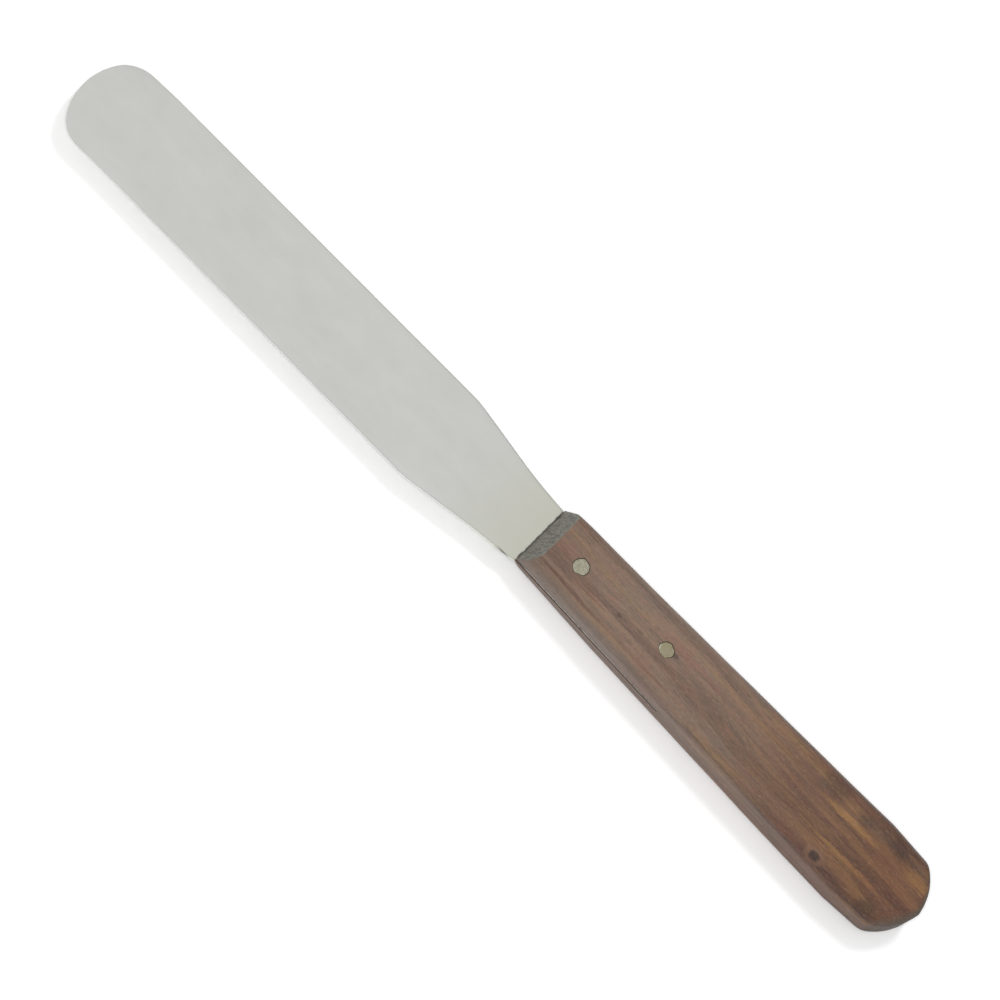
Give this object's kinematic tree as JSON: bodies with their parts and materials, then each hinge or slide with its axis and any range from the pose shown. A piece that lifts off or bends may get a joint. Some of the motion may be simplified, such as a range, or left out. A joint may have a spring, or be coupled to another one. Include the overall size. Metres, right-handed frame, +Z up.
{
  "type": "palette knife",
  "caption": "Straight palette knife: flat flexible steel blade with a blunt round tip and a flat tang, pinned with flush rivets into a slotted hardwood handle.",
  "frame": {"origin": "middle of the knife's whole footprint, on the plane of the handle's underside, which the knife rests on", "axes": "+X along the knife from the blade's tip to the handle's butt, +Y across the blade, +Z up out of the handle's upper face"},
  "size_m": [0.2794, 0.0272, 0.0127],
  "materials": {
    "steel": "satin",
    "hardwood": "satin",
    "rivet_metal": "satin"
  },
  "bodies": {
    "root": {"blade": "steel", "handle": "hardwood", "front_rivet": "rivet_metal", "rear_rivet": "rivet_metal"}
  },
  "joints": []
}
